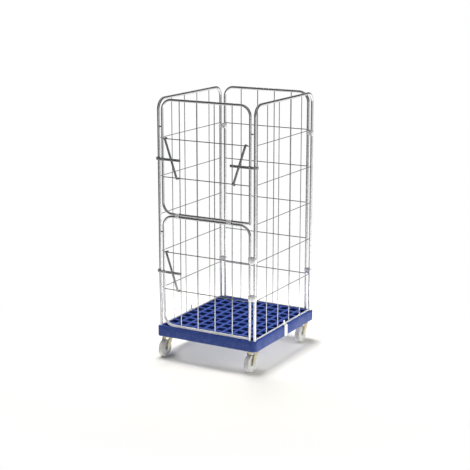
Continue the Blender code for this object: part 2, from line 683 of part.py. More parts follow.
def lock_bar(name, sign, rivet, hinge, axis):
    """A flat bar whose outer end bends round the side post, on the post's axis, to stay clear in the swing."""
    round_post = -BAR_Y - SIDE_POST_Y
    curl = arc((sign * SIDE_X, -SIDE_POST_Y), round_post, -90, -90 + sign * 90)
    tail = (sign * (SIDE_X + round_post), BAR_TAIL - SIDE_POST_Y)
    path = [(sign * (END_POST_X - BAR_INNER_INSET), BAR_Y), *curl, tail]
    mesh = band_mesh(name, [(x - rivet.x, y - rivet.y, 0) for x, y in path], (0, 0, 1), BAR_HEIGHT)
    made = part(name, mesh, dark_zinc, rivet - hinge, axis)
    thicken(made, BAR_THICKNESS)
    hole = rods_mesh(f"{name}_hole", [((0, -0.01, 0), (0, 0.01, 0), RIVET_RADIUS + PIN_CLEARANCE)], 12)
    combine(made, helper(f"{name}_hole", hole, made), "DIFFERENCE")


def rivet_pin(name, at, axis):
    """Shank through the bar and the lever's slot, a wide head in front and a flat one behind."""
    back = BAR_THICKNESS / 2 + GAP
    front = BAR_THICKNESS / 2 + LATCH_LAYER_GAP + LEVER_THICKNESS + 2 * GAP
    profile = [(0, front + 0.0012), (RIVET_HEAD * 0.7, front + 0.0012), (RIVET_HEAD, front),
               (RIVET_RADIUS, front), (RIVET_RADIUS, -back), (RIVET_HEAD * 0.75, -back),
               (RIVET_HEAD * 0.75, -back - 0.001), (0, -back - 0.001)]
    part(name, turned(name, profile, 12), dark_zinc, at, axis, (math.pi / 2, 0, 0))


def guide(name, sign, bar_z, hinge, axis):
    """A staple on the panel's post that the lock bar slides through."""
    foot = -(FRONT_FACE_Y + GAP * 2)
    front = BAR_Y - BAR_THICKNESS / 2 - GAP * 2 - GUIDE_THICKNESS / 2
    half = BAR_HEIGHT / 2 + BAND_CLEARANCE + GUIDE_THICKNESS / 2
    outline = [(foot, half), (front, half), (front, -half), (foot, -half)]
    path = [Vector((sign * END_POST_X, y, bar_z + z)) - hinge for y, z in outline]
    thicken(part(name, band_mesh(name, path, (1, 0, 0), GUIDE_WIDTH), zinc, parent=axis), GUIDE_THICKNESS)


platform()
castors()
walls()
corner_clips()
side_hooks()
door_axis, door_hinge = lower_door()
upper_panel(door_axis, door_hinge)
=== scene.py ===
import json
import math

import bmesh
import bpy
from mathutils import Matrix, Vector

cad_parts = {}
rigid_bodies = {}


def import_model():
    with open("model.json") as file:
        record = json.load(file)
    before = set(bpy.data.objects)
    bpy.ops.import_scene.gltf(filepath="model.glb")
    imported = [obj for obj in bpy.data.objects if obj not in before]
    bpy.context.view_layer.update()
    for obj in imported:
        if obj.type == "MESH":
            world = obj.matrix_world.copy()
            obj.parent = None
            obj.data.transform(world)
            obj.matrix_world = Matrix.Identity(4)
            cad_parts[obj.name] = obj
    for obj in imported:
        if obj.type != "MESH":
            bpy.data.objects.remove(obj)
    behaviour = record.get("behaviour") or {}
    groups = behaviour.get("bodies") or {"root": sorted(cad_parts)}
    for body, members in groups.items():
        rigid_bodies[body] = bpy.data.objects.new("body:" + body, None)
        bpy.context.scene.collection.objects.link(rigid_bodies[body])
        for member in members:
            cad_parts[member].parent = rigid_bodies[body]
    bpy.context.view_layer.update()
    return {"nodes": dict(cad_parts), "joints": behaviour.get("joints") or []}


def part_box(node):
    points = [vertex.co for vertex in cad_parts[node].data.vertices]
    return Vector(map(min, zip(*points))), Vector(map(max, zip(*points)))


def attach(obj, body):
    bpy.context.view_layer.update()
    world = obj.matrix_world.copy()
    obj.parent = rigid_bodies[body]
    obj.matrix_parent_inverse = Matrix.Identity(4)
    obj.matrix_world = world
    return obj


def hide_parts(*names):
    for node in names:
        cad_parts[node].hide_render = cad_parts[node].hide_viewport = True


for extra in list(bpy.data.objects):  # the startup cube, lamp and camera
    bpy.data.objects.remove(extra, do_unlink=True)

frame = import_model()
scene = bpy.context.scene
jointAt = {joint["name"]: Vector(joint.get("pos_m", (0, 0, 0))) for joint in frame["joints"]}
print("frame loaded:", len(frame["nodes"]), "nodes")


# node helpers

def addNode(tree, kind, at=(0, 0), **values):
    node = tree.nodes.new(kind)
    node.location = at
    for key, value in values.items():
        setattr(node, key, value)
    return node


def mathNode(tree, operation, first, second=None):
    node = addNode(tree, "ShaderNodeMath", operation=operation)
    for socket, value in zip(node.inputs, (first, second)):
        if isinstance(value, (int, float)):
            socket.default_value = value
        elif value is not None:
            tree.links.new(value, socket)
    return node.outputs[0]


def spread(tree, value, fromLow, fromHigh, toLow, toHigh):
    node = addNode(tree, "ShaderNodeMapRange", interpolation_type="SMOOTHSTEP")
    tree.links.new(value, node.inputs["Value"])
    for key, number in (("From Min", fromLow), ("From Max", fromHigh), ("To Min", toLow), ("To Max", toHigh)):
        if isinstance(number, (int, float)):
            node.inputs[key].default_value = number
        else:
            tree.links.new(number, node.inputs[key])
    return node.outputs["Result"]


def noise(tree, vector, scale, detail=4, roughness=0.55):
    node = addNode(tree, "ShaderNodeTexNoise")
    node.inputs["Detail"].default_value = detail
    node.inputs["Roughness"].default_value = roughness
    tree.links.new(vector, node.inputs["Vector"])
    if isinstance(scale, (int, float)):
        node.inputs["Scale"].default_value = scale
    else:
        tree.links.new(scale, node.inputs["Scale"])
    return node.outputs["Fac"]


def startGroup(name, inputs, outputs):
    tree = bpy.data.node_groups.new(name, "ShaderNodeTree")
    for label, start in inputs.items():
        socket = tree.interface.new_socket(label, in_out="INPUT", socket_type="NodeSocketFloat")
        socket.default_value = start
    for label in outputs:
        tree.interface.new_socket(label, in_out="OUTPUT", socket_type="NodeSocketFloat")
    return tree, addNode(tree, "NodeGroupInput").outputs, addNode(tree, "NodeGroupOutput").inputs


# worn edges: the mesh's sharp outer edges, broken up by a coarse noise
wearGroup, wearIn, wearOut = startGroup("wornEdges", {"Reach": 0.06, "Breakup": 60.0}, ["Mask"])
place = addNode(wearGroup, "ShaderNodeTexCoord").outputs["Object"]
edge = addNode(wearGroup, "ShaderNodeNewGeometry").outputs["Pointiness"]
reach = mathNode(wearGroup, "ADD", wearIn["Reach"], 0.5)
raised = spread(wearGroup, edge, 0.5, reach, 0.0, 1.0)
patches = spread(wearGroup, noise(wearGroup, place, wearIn["Breakup"]), 0.38, 0.62, 0.15, 1.0)
wearGroup.links.new(mathNode(wearGroup, "MULTIPLY", raised, patches), wearOut["Mask"])

# mottling: two sizes of soft cloud, as plating or moulded plastic shows
mottleGroup, mottleIn, mottleOut = startGroup("mottling", {"Scale": 12.0, "Fine": 140.0}, ["Mask"])
place = addNode(mottleGroup, "ShaderNodeTexCoord").outputs["Object"]
broad = spread(mottleGroup, noise(mottleGroup, place, mottleIn["Scale"], 3), 0.3, 0.7, 0.0, 1.0)
small = spread(mottleGroup, noise(mottleGroup, place, mottleIn["Fine"], 5, 0.65), 0.35, 0.68, 0.0, 1.0)
mixed = mathNode(mottleGroup, "ADD", mathNode(mottleGroup, "MULTIPLY", broad, 0.6),
                 mathNode(mottleGroup, "MULTIPLY", small, 0.4))
mottleGroup.links.new(mixed, mottleOut["Mask"])

# grain: the height of the fine surface texture, with shallow scratches drawn along Z
grainGroup, grainIn, grainOut = startGroup("grain", {"Scale": 900.0, "Scratches": 0.4}, ["Height"])
place = addNode(grainGroup, "ShaderNodeTexCoord").outputs["Object"]
drawn = addNode(grainGroup, "ShaderNodeMapping")
drawn.inputs["Scale"].default_value = (1, 1, 0.03)
grainGroup.links.new(place, drawn.inputs["Vector"])
pits = noise(grainGroup, place, grainIn["Scale"], 3, 0.6)
drawnNoise = noise(grainGroup, drawn.outputs["Vector"], 700, 2)
lines = mathNode(grainGroup, "MULTIPLY", drawnNoise, grainIn["Scratches"])
grainGroup.links.new(mathNode(grainGroup, "ADD", pits, lines), grainOut["Height"])

# settled dust: faces that look up, in soft patches
dustGroup, dustIn, dustOut = startGroup("settledDust", {"Scale": 9.0, "Amount": 0.5}, ["Mask"])
place = addNode(dustGroup, "ShaderNodeTexCoord").outputs["Object"]
facing = addNode(dustGroup, "ShaderNodeSeparateXYZ")
dustGroup.links.new(addNode(dustGroup, "ShaderNodeNewGeometry").outputs["Normal"], facing.inputs["Vector"])
upFacing = spread(dustGroup, facing.outputs["Z"], 0.35, 0.95, 0.0, 1.0)
drifts = spread(dustGroup, noise(dustGroup, place, dustIn["Scale"], 6, 0.6), 0.42, 0.68, 0.1, 1.0)
settled = mathNode(dustGroup, "MULTIPLY", mathNode(dustGroup, "MULTIPLY", upFacing, drifts), dustIn["Amount"])
dustGroup.links.new(settled, dustOut["Mask"])


def placeGroup(tree, group, **values):
    node = addNode(tree, "ShaderNodeGroup", node_tree=group)
    for key, value in values.items():
        node.inputs[key].default_value = value
    return node.outputs[0]


def blendColour(tree, mask, first, second):
    node = addNode(tree, "ShaderNodeMix", data_type="RGBA")
    tree.links.new(mask, node.inputs["Factor"])
    for socket, colour in ((node.inputs["A"], first), (node.inputs["B"], second)):
        if isinstance(colour, tuple):
            socket.default_value = (*colour, 1)
        else:
            tree.links.new(colour, socket)
    return node.outputs["Result"]


finishes = {
    "brightZinc": {
        "slot": "bright_zinc", "colour": (0.70, 0.705, 0.71), "second": (0.62, 0.625, 0.635),
        "worn": (0.85, 0.85, 0.85), "dust": (0.62, 0.61, 0.60),
        "metallic": 0.95, "rough": (0.20, 0.34), "coat": 0.0,
        "mottle": (9, 260), "wear": (0.05, 70), "grain": (1400, 0.6, 0.00001), "dusty": (12, 0.1),
        # low: painted reflection of the bright floor, paler lower down
        "low": (0.22, 0.4, (0.90, 0.90, 0.90), 0.35),
    },
    # painted highlight: a paler, less metallic copy of the bright zinc, so the clips read as bright bands
    "litClipZinc": {
        "slot": "bright_zinc", "colour": (0.92, 0.92, 0.92), "second": (0.84, 0.845, 0.85),
        "worn": (0.95, 0.95, 0.95), "dust": (0.7, 0.7, 0.69),
        "metallic": 0.45, "rough": (0.24, 0.36), "coat": 0.2,
        "mottle": (30, 300), "wear": (0.05, 70), "grain": (1400, 0.6, 0.00006), "dusty": (12, 0.1),
    },
    # painted shade: a darker copy of the bright zinc for the wires, with the painted floor reflection paling
    # them low down
    "shadedWireZinc": {
        "slot": "bright_zinc", "colour": (0.24, 0.24, 0.245), "second": (0.19, 0.195, 0.20),
        "worn": (0.40, 0.40, 0.41), "dust": (0.42, 0.41, 0.40),
        "metallic": 0.95, "rough": (0.22, 0.38), "coat": 0.0,
        "mottle": (22, 420), "wear": (0.05, 90), "grain": (1800, 0.5, 0.00002), "dusty": (12, 0.1),
        # low: painted reflection of the bright floor, paler lower down
        "low": (0.30, 0.46, (0.84, 0.84, 0.85), 0.45),
    },
    "darkZinc": {
        "slot": "dark_zinc", "colour": (0.24, 0.245, 0.255), "second": (0.17, 0.175, 0.185),
        "worn": (0.5, 0.5, 0.51), "dust": (0.4, 0.39, 0.37),
        "metallic": 0.75, "rough": (0.36, 0.58), "coat": 0.0,
        "mottle": (30, 260), "wear": (0.06, 120), "grain": (1100, 0.8, 0.0001), "dusty": (20, 0.12),
        # low: painted reflection of the bright floor, paler lower down
        "low": (0.48, 0.60, (0.55, 0.55, 0.56), 0.6),
    },
    "yellowZinc": {
        "slot": "yellow_zinc", "colour": (0.36, 0.30, 0.15), "second": (0.24, 0.21, 0.12),
        "worn": (0.70, 0.67, 0.58), "dust": (0.24, 0.21, 0.17),
        "metallic": 0.85, "rough": (0.28, 0.5), "coat": 0.0,
        "mottle": (26, 200), "wear": (0.06, 90), "grain": (1200, 0.5, 0.0001), "dusty": (30, 0.3),
    },
    "bluePlastic": {
        "slot": "blue_plastic", "colour": (0.022, 0.060, 0.30), "second": (0.018, 0.050, 0.26),
        "worn": (0.09, 0.14, 0.42), "dust": (0.10, 0.14, 0.36),
        "metallic": 0.0, "rough": (0.42, 0.58), "coat": 0.0,
        "mottle": (6, 90), "wear": (0.10, 40), "grain": (700, 0.2, 0.00016), "dusty": (7, 0.22), "gloss": 0.3,
    },
    # painted shade: a darker copy of the blue plastic for the inner cell walls
    "shadedCellWalls": {
        "slot": "blue_plastic", "colour": (0.003, 0.008, 0.08), "second": (0.002, 0.006, 0.06),
        "worn": (0.02, 0.04, 0.2), "dust": (0.03, 0.045, 0.15),
        "metallic": 0.0, "rough": (0.5, 0.7), "coat": 0.0,
        "mottle": (9, 110), "wear": (0.12, 50), "grain": (700, 0.2, 0.00016),
        "dusty": (7, 0.2), "gloss": 0.15,
    },
    "whiteNylon": {
        "slot": "white_nylon", "colour": (0.80, 0.80, 0.78), "second": (0.72, 0.72, 0.70),
        "worn": (0.55, 0.54, 0.52), "dust": (0.5, 0.48, 0.44),
        "metallic": 0.0, "rough": (0.30, 0.48), "coat": 0.1,
        "mottle": (20, 150), "wear": (0.08, 60), "grain": (900, 0.3, 0.0001), "dusty": (20, 0.25),
    },
    "hubGrey": {
        "slot": "white_nylon", "colour": (0.10, 0.10, 0.11), "second": (0.06, 0.06, 0.065),
        "worn": (0.3, 0.3, 0.3), "dust": (0.3, 0.28, 0.25), "metallic": 0.2, "rough": (0.4, 0.6), "coat": 0.0,
        "mottle": (40, 300), "wear": (0.06, 90), "grain": (1200, 0.3, 0.0001), "dusty": (30, 0.3),
    },
}


def makeFinish(name, look):
    made = bpy.data.materials.new(name)
    made.use_nodes = True
    tree = made.node_tree
    shader = tree.nodes["Principled BSDF"]
    shader.inputs["Metallic"].default_value = look["metallic"]
    shader.inputs["Coat Weight"].default_value = look["coat"]
    shader.inputs["Coat Roughness"].default_value = 0.25
    shader.inputs["Specular IOR Level"].default_value = look.get("gloss", 0.5)
    clouds = placeGroup(tree, mottleGroup, Scale=look["mottle"][0], Fine=look["mottle"][1])
    wear = placeGroup(tree, wearGroup, Reach=look["wear"][0], Breakup=look["wear"][1])
    dust = placeGroup(tree, dustGroup, Scale=look["dusty"][0], Amount=look["dusty"][1])
    colour = blendColour(tree, clouds, look["colour"], look["second"])
    colour = blendColour(tree, wear, colour, look["worn"])
    colour = blendColour(tree, dust, colour, look["dust"])
    if "low" in look:  # painted reflection of the bright floor: paler and more matt towards the deck
        start, end, pale, matt = look["low"]
        apart = addNode(tree, "ShaderNodeSeparateXYZ")
        tree.links.new(addNode(tree, "ShaderNodeTexCoord").outputs["Object"], apart.inputs[0])
        floorReflectionPaint = spread(tree, apart.outputs["Z"], start, end, 1, 0)
        colour = blendColour(tree, floorReflectionPaint, colour, pale)
        tree.links.new(spread(tree, floorReflectionPaint, 0, 1, look["metallic"], matt), shader.inputs["Metallic"])
    tree.links.new(colour, shader.inputs["Base Color"])
    dustDulls = mathNode(tree, "MULTIPLY", dust, 0.25)
    dulled = mathNode(tree, "ADD", spread(tree, clouds, 0, 1, *look["rough"]), dustDulls)
    tree.links.new(dulled, shader.inputs["Roughness"])
    bump = addNode(tree, "ShaderNodeBump")
    bump.inputs["Strength"].default_value = 0.6
    bump.inputs["Distance"].default_value = look["grain"][2]
    height = placeGroup(tree, grainGroup, Scale=look["grain"][0], Scratches=look["grain"][1])
    tree.links.new(height, bump.inputs["Height"])
    tree.links.new(bump.outputs["Normal"], shader.inputs["Normal"])
    return made


materials = {name: makeFinish(name, look) for name, look in finishes.items()}
print("finishes made:", len(materials))


# shape helpers

def boxOf(node):
    low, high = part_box(node)
    return low, high, (low + high) / 2, high - low


def frameTo(at, heading):
    return Matrix.Translation(at) @ Vector(heading).to_track_quat("Z", "Y").to_matrix().to_4x4()


def addBlock(shape, low, high):
    low, high = Vector(low), Vector(high)
    place = Matrix.Translation((low + high) / 2) @ Matrix.Diagonal((*(high - low), 1))
    return bmesh.ops.create_cube(shape, size=1, matrix=place)["verts"]


def addRod(shape, start, end, radius, sides=12, endRadius=None):
    start, end = Vector(start), Vector(end)
    return bmesh.ops.create_cone(
        shape, cap_ends=True, segments=sides, radius1=radius,
        radius2=radius if endRadius is None else endRadius,
        depth=(end - start).length, matrix=frameTo((start + end) / 2, end - start))["verts"]


def addBead(shape, at, radius, squash=(1, 1, 1), rings=6):
    place = Matrix.Translation(at) @ Matrix.Diagonal((*squash, 1))
    return bmesh.ops.create_uvsphere(
        shape, u_segments=rings + 4, v_segments=rings, radius=radius, matrix=place)["verts"]


def edgesOf(verts):
    return list({edge for vert in verts for edge in vert.link_edges})


def uprightEdges(verts, rise=0.01):
    return [e for e in edgesOf(verts) if abs(e.verts[0].co.z - e.verts[1].co.z) > rise]


def roundEdges(shape, edges, width, segments=2):
    bmesh.ops.bevel(shape, geom=edges, offset=width, segments=segments, profile=0.5, affect="EDGES",
                    material=-1)


def startRing(shape, at, heading, radius, sides):
    made = bmesh.ops.create_circle(shape, segments=sides, radius=radius, matrix=frameTo(at, heading))
    return edgesOf(made["verts"])


def startStrip(shape, at, across, width):
    at, across = Vector(at), Vector(across)
    return [shape.edges.new([shape.verts.new(at + across * width * side) for side in (-0.5, 0.5)])]


def sweep(shape, edges, at, heading, pole, runs):  # drags a ring or strip along straight runs and turns
    at, heading, pole = Vector(at), Vector(heading).normalized(), Vector(pole)
    for run in runs:
        if run[0] == "turn":  # radius, degrees about the pole, steps
            radius, angle, steps = run[1], math.radians(run[2]), run[3]
            centre = at + pole.cross(heading) * math.copysign(radius, angle)
            made = bmesh.ops.spin(shape, geom=edges, cent=centre, axis=pole, angle=angle, steps=steps)
            edges = [item for item in made["geom_last"] if isinstance(item, bmesh.types.BMEdge)]
            turn = Matrix.Rotation(angle, 3, pole)
            at, heading = centre + turn @ (at - centre), turn @ heading
            continue
        made = bmesh.ops.extrude_edge_only(shape, edges=edges)["geom"]
        verts = [item for item in made if isinstance(item, bmesh.types.BMVert)]
        edges = [item for item in made
                 if isinstance(item, bmesh.types.BMEdge) and all(v in verts for v in item.verts)]
        bmesh.ops.translate(shape, verts=verts, vec=heading * run[1])
        at = at + heading * run[1]
        if run[0] == "widen":  # length, share of the width before
            for vert in verts:
                vert.co = at + (vert.co - at) * run[2]
    return edges


def meshOf(shape, name):
    bmesh.ops.remove_doubles(shape, verts=shape.verts, dist=0.00001)
    bmesh.ops.recalc_face_normals(shape, faces=shape.faces)
    mesh = bpy.data.meshes.new(name)
    shape.to_mesh(mesh)
    shape.free()
    return mesh


def objectOf(shape, name):
    made = bpy.data.objects.new(name, meshOf(shape, name))
    scene.collection.objects.link(made)
    return made


def settle(piece, steps=(), smoothAngle=35):
    for kind, values in steps:
        step = piece.modifiers.new(kind.lower(), kind)
        for key, value in values.items():
            setattr(step, key, value)
    bpy.context.view_layer.update()
    graph = bpy.context.evaluated_depsgraph_get()
    mesh = bpy.data.meshes.new_from_object(piece.evaluated_get(graph))
    piece.modifiers.clear()
    piece.data = mesh
    mesh.name = piece.name
    for _, values in steps:
        if values.get("object"):
            bpy.data.objects.remove(values["object"], do_unlink=True)
    mesh.shade_smooth()
    mesh.set_sharp_from_angle(angle=math.radians(smoothAngle))
    return piece


def finishPiece(piece, body, finish, replaced=(), second=None):
    piece.data.materials.clear()
    piece.data.materials.append(materials[finish])
    if second:
        piece.data.materials.append(materials[second])
    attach(piece, body)
    if replaced:
        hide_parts(*replaced)
    return piece


def cutBy(other):
    return ("BOOLEAN", {"operation": "DIFFERENCE", "object": other, "solver": "EXACT"})


def joinTo(other):
    return ("BOOLEAN", {"operation": "UNION", "object": other, "solver": "EXACT"})


def wallOf(thickness):
    return ("SOLIDIFY", {"thickness": thickness, "offset": 0, "use_even_offset": True})


def softEdge(width, segments=2):
    return ("BEVEL", {"width": width, "segments": segments, "limit_method": "ANGLE",
                      "angle_limit": math.radians(40)})


# platform

deck = {
    "corner": 0.025, "topEdge": 0.004, "bottomEdge": 0.0015, "rimSides": 0.0275, "rimEnds": 0.035,
    "rib": 0.020, "hollowCorner": 0.008, "over": 0.01,
    "cells": 10, "deckThickness": 0.022, "cellCorner": 0.004, "flare": 0.0022, "flareDepth": 0.0022,
    "skirt": 0.012, "padX": 0.2565, "padY": 0.287, "socketRadius": 0.0097, "socketDepth": 0.038,
}


def deckCells(low, high):
    spanX = high.x - low.x - 2 * deck["rimSides"]
    spanY = high.y - low.y - 2 * deck["rimEnds"]
    sizeX = (spanX - (deck["cells"] - 1) * deck["rib"]) / deck["cells"]
    sizeY = (spanY - (deck["cells"] - 1) * deck["rib"]) / deck["cells"]
    shape = bmesh.new()
    startX, startY = low.x + deck["rimSides"], low.y + deck["rimEnds"]
    flareAt = high.z - deck["flareDepth"]
    first = addBlock(shape, (startX, startY, flareAt - deck["deckThickness"] - deck["over"]),
                     (startX + sizeX, startY + sizeY, flareAt))
    roundEdges(shape, uprightEdges(first), deck["cellCorner"], 3)
    centre = Vector((startX + sizeX / 2, startY + sizeY / 2, flareAt))
    top = [f for f in shape.faces if f.normal.z > 0.9]
    # a chamfered mouth, then clear of the deck
    for rise, share in ((deck["flareDepth"], deck["flare"]), (deck["over"], 0.0)):
        made = bmesh.ops.extrude_face_region(shape, geom=top)["geom"]
        bmesh.ops.delete(shape, geom=top, context="FACES")
        verts = [v for v in made if isinstance(v, bmesh.types.BMVert)]
        top = [f for f in made if isinstance(f, bmesh.types.BMFace)]
        bmesh.ops.translate(shape, verts=verts, vec=(0, 0, rise))
        grow = (1 + 2 * share / sizeX, 1 + 2 * share / sizeY, 1)
        bmesh.ops.scale(shape, verts=verts, vec=grow, space=Matrix.Translation(-centre))
    pitchX, pitchY = sizeX + deck["rib"], sizeY + deck["rib"]
    cell = shape.verts[:] + shape.edges[:] + shape.faces[:]
    for column in range(deck["cells"]):
        for row in range(deck["cells"]):
            if column or row:
                copied = bmesh.ops.duplicate(shape, geom=cell)["geom"]
                verts = [v for v in copied if isinstance(v, bmesh.types.BMVert)]
                bmesh.ops.translate(shape, verts=verts, vec=(column * pitchX, row * pitchY, 0))
    return objectOf(shape, "deckCellsCutter")


def buildPlatform():
    low, high, centre, size = boxOf("base_platform")
    shape = bmesh.new()
    verts = addBlock(shape, low, high)
    roundEdges(shape, uprightEdges(verts), deck["corner"], 8)
    for height, width, segments in ((high.z, deck["topEdge"], 3), (low.z, deck["bottomEdge"], 2)):
        rim = [e for e in shape.edges if all(abs(v.co.z - height) < 0.0001 for v in e.verts)]
        roundEdges(shape, rim, width, segments)
    piece = objectOf(shape, "moulded_platform")
    ceiling = high.z - deck["deckThickness"]
    hollows = []
    insideX, insideY = size.x / 2 - deck["skirt"], size.y / 2 - deck["skirt"]
    for halfX, halfY in ((insideX, deck["padY"]), (deck["padX"], insideY)):  # the corners stay as castor pads
        cutter = bmesh.new()
        block = addBlock(cutter, (centre.x - halfX, centre.y - halfY, low.z - 0.02),
                         (centre.x + halfX, centre.y + halfY, ceiling))
        roundEdges(cutter, uprightEdges(block), deck["hollowCorner"], 3)
        hollows.append(objectOf(cutter, "hollowCutter"))
    sockets = bmesh.new()
    for node in ("left_wall_frame", "right_wall_frame", "back_wall_frame"):
        postLow, postHigh, _, postSize = boxOf(node)
        radius = min(postSize.x, postSize.y) / 2
        for x in {round(postLow.x + radius, 6), round(postHigh.x - radius, 6)}:
            for y in {round(postLow.y + radius, 6), round(postHigh.y - radius, 6)}:
                addRod(sockets, (x, y, high.z - deck["socketDepth"]), (x, y, high.z + deck["over"]),
                       deck["socketRadius"], 32)
    cutters = [*hollows, deckCells(low, high), objectOf(sockets, "socketCutter")]
    settle(piece, [cutBy(cutter) for cutter in cutters], 30)
    finishPiece(piece, "cage", "bluePlastic", ["base_platform"], "shadedCellWalls")
    reachX = size.x / 2 - deck["rimSides"] + 0.001
    reachY = size.y / 2 - deck["rimEnds"] + 0.001
    for face in piece.data.polygons:  # painted shade: the inner walls of the cells take the darker blue, as if in shadow
        at = face.center
        inCells = abs(at.x - centre.x) < reachX and abs(at.y - centre.y) < reachY
        if inCells and abs(face.normal.z) < 0.4 and ceiling - 0.001 < at.z < high.z - 0.001:
            face.material_index = 1


buildPlatform()
print("platform built")


# walls

tube = {"sides": 24, "bendSteps": 10, "bend": 0.065, "frontBend": 0.065}
grid = {"side": 0.0025, "end": 0.003, "stagger": 0.004, "uprights": 4, "levels": 6, "lift": 0.005, "sides": 12,
        "bite": 0.0012, "weld": 1.35}
railLow, railHigh, railCentre, railSize = boxOf("right_wall_bottom_rail")
railZ = railCentre.z
railRadius = railSize.z / 2
wallLow, wallHigh, wallCentre, wallSize = boxOf("right_wall_frame")
sideRadius = wallSize.x / 2
topZ = wallHigh.z - sideRadius


def levelAt(step):
    low = railZ + grid["lift"]
    return low + (topZ - low) * step / grid["levels"]


def addWires(shape, spot, half, low, high, reach, levels, radius, sideWeld):
    places = [-half + 2 * half * (i + 1) / (grid["uprights"] + 1) for i in range(grid["uprights"])]
    weld = radius * grid["weld"]
    for u in places:
        addRod(shape, spot(u, low, 0), spot(u, high, 0), radius, grid["sides"])
        for z in (low, high):
            addBead(shape, spot(u, z, 0), weld, (1, 1, 0.55))
    for z in levels:
        ends = [spot(u, z, -grid["stagger"]) for u in (-reach, reach)]
        addRod(shape, *ends, radius, grid["sides"])
        for u in (-reach, reach):
            addBead(shape, spot(u, z, -grid["stagger"] * 0.7), weld, sideWeld)
        for u in places:  # the two wires are spot welded where they cross
            addBead(shape, spot(u, z, -grid["stagger"] / 2), weld * 0.86, (1, 1, 1))


def buildWall(name, spot, node, half, pole, radius, sideWeld):
    low = boxOf(node)[0]
    shape = bmesh.new()
    bend = tube["bend"]
    start = spot(-half, low.z, 0)
    rise = topZ - bend - low.z
    ring = startRing(shape, start, (0, 0, 1), sideRadius, tube["sides"])
    first = list(ring)
    last = sweep(shape, ring, start, (0, 0, 1), pole, [
        ("go", rise), ("turn", bend, 90, tube["bendSteps"]), ("go", 2 * (half - bend)),
        ("turn", bend, 90, tube["bendSteps"]), ("go", rise)])
    for end in (first, last):
        bmesh.ops.contextual_create(shape, geom=end)
    finishPiece(settle(objectOf(shape, f"{name}_tube")), "cage", "brightZinc", [node])
    reach = half - sideRadius + grid["bite"]
    rail = bmesh.new()
    addRod(rail, spot(-reach, railZ, 0), spot(reach, railZ, 0), railRadius, 20)
    for u in (-reach, reach):
        addBead(rail, spot(u, railZ, 0), railRadius * 1.18, sideWeld, 8)
    finishPiece(settle(objectOf(rail, f"{name}_rail")), "cage", "brightZinc", [f"{name}_bottom_rail"])
    wires = bmesh.new()
    low, high = railZ + railRadius - grid["bite"], topZ - sideRadius + grid["bite"]
    levels = [levelAt(k) for k in range(1, grid["levels"])]
    addWires(wires, spot, half, low, high, reach, levels, radius, sideWeld)
    finishPiece(settle(objectOf(wires, f"{name}_mesh")), "cage", "shadedWireZinc", [f"{name}_wires"])


for name, sign in (("right_wall", 1), ("left_wall", -1)):
    _, _, centre, size = boxOf(f"{name}_frame")
    spotAt = (lambda cx, cy, s: lambda u, z, out: Vector((cx + s * out, cy + u, z)))(centre.x, centre.y, sign)
    buildWall(name, spotAt, f"{name}_frame", size.y / 2 - sideRadius, (-1, 0, 0), grid["side"], (1, 0.5, 1))
_, _, centre, size = boxOf("back_wall_frame")
backSpot = (lambda cx, cy: lambda u, z, out: Vector((cx + u, cy + out, z)))(centre.x, centre.y)
buildWall("back_wall", backSpot, "back_wall_frame", size.x / 2 - sideRadius, (0, 1, 0), grid["end"],
          (0.5, 1, 1))
print("walls built")


# front: door and panel

def buildFrontHalf(name, body, levels):
    low, high, centre, size = boxOf(f"{name}_frame")
    wireLow = boxOf(f"{name}_wires")[0]
    radius = size.y / 2
    half = size.x / 2 - radius
    bottom, top = wireLow.z - radius - 0.0003, high.z - radius  # the wires end 0.3 mm above the tube
    bend = tube["frontBend"]
    shape = bmesh.new()
    start = Vector((centre.x + half, centre.y, low.z))
    ring = startRing(shape, start, (0, 0, 1), radius, tube["sides"])
    first = list(ring)
    last = sweep(shape, ring, start, (0, 0, 1), (0, -1, 0), [
        ("go", top - bend - low.z), ("turn", bend, 90, tube["bendSteps"]), ("go", 2 * (half - bend)),
        ("turn", bend, 90, tube["bendSteps"]), ("go", top - bottom - 2 * bend),
        ("turn", bend, 90, tube["bendSteps"]), ("go", 2 * half - bend - radius + 0.001)])
    for end in (first, last):
        bmesh.ops.contextual_create(shape, geom=end)
    # the butt weld
    addBead(shape, (centre.x + half - radius, centre.y, bottom), radius * 1.12, (0.3, 1, 1), 10)
    finishPiece(settle(objectOf(shape, f"{name}_tube")), body, "brightZinc", [f"{name}_frame"])
    wires = bmesh.new()
    spotAt = lambda u, z, out: Vector((centre.x + u, centre.y + out, z))
    reach = half - radius + grid["bite"]
    addWires(wires, spotAt, half, bottom + radius - grid["bite"], top - radius + grid["bite"], reach, levels,
             grid["end"], (0.5, 1, 1))
    finishPiece(settle(objectOf(wires, f"{name}_mesh")), body, "shadedWireZinc", [f"{name}_wires"])


buildFrontHalf("lower_door", "lower_door", [levelAt(1), levelAt(2)])
buildFrontHalf("upper_panel", "upper_panel", [levelAt(4), levelAt(5)])
print("front built")


# clips: folded bands round two tubes, with a rivet through the waist

band = {"thickness": 0.002, "clearance": 0.0006, "rivet": 0.0032, "edge": 0.0004}


